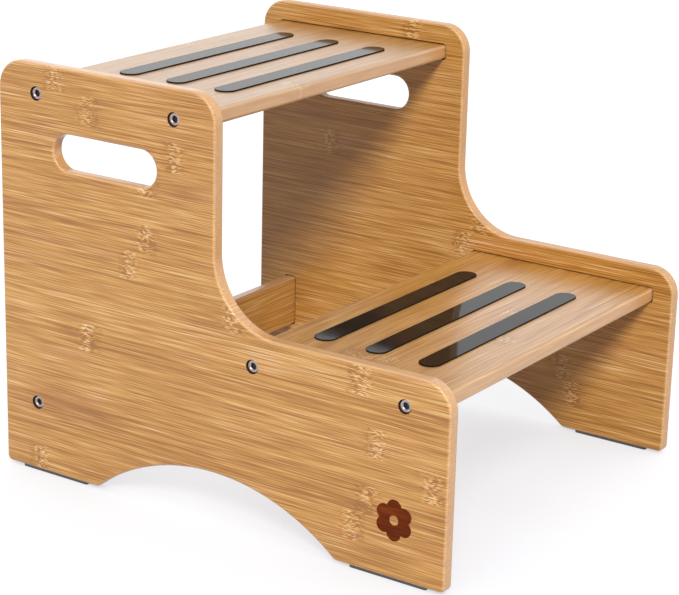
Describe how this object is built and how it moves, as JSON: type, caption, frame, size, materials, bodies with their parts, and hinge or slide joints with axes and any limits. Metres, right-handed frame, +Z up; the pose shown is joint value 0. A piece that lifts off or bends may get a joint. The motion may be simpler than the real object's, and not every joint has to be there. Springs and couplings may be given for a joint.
{
  "type": "step stool",
  "caption": "Bamboo step stool: stepped side panels with hand slots and arched feet carry an upper and a lower tread with grip strips and a low rear rail.",
  "frame": {"origin": "on the floor, under the middle of the stool", "axes": "+Z up, +X across the width towards the right side panel, -Y towards the front, where the lower step is"},
  "size_m": [0.318, 0.375, 0.3],
  "materials": {
    "bamboo": "clear satin lacquer over horizontally laminated bamboo",
    "grip_strip": "smooth black anti-slip strip",
    "foot_pad": "matt grey",
    "screw_steel": "nickel-plated"
  },
  "bodies": {
    "root": {"left_front_foot_pad": "foot_pad", "left_lower_tread_front_screw": "screw_steel", "left_lower_tread_rear_screw": "screw_steel", "left_rear_foot_pad": "foot_pad", "left_rear_rail_middle_screw": "screw_steel", "left_side_panel": "bamboo", "left_upper_tread_front_screw": "screw_steel", "left_upper_tread_rear_screw": "screw_steel", "lower_front_grip_strip": "grip_strip", "lower_middle_grip_strip": "grip_strip", "lower_rear_grip_strip": "grip_strip", "lower_tread": "bamboo", "rear_rail": "bamboo", "right_front_foot_pad": "foot_pad", "right_lower_tread_front_screw": "screw_steel", "right_lower_tread_rear_screw": "screw_steel", "right_rear_foot_pad": "foot_pad", "right_rear_rail_middle_screw": "screw_steel", "right_side_panel": "bamboo", "right_upper_tread_front_screw": "screw_steel", "right_upper_tread_rear_screw": "screw_steel", "upper_front_grip_strip": "grip_strip", "upper_middle_grip_strip": "grip_strip", "upper_rear_grip_strip": "grip_strip", "upper_tread": "bamboo"}
  },
  "joints": []
}
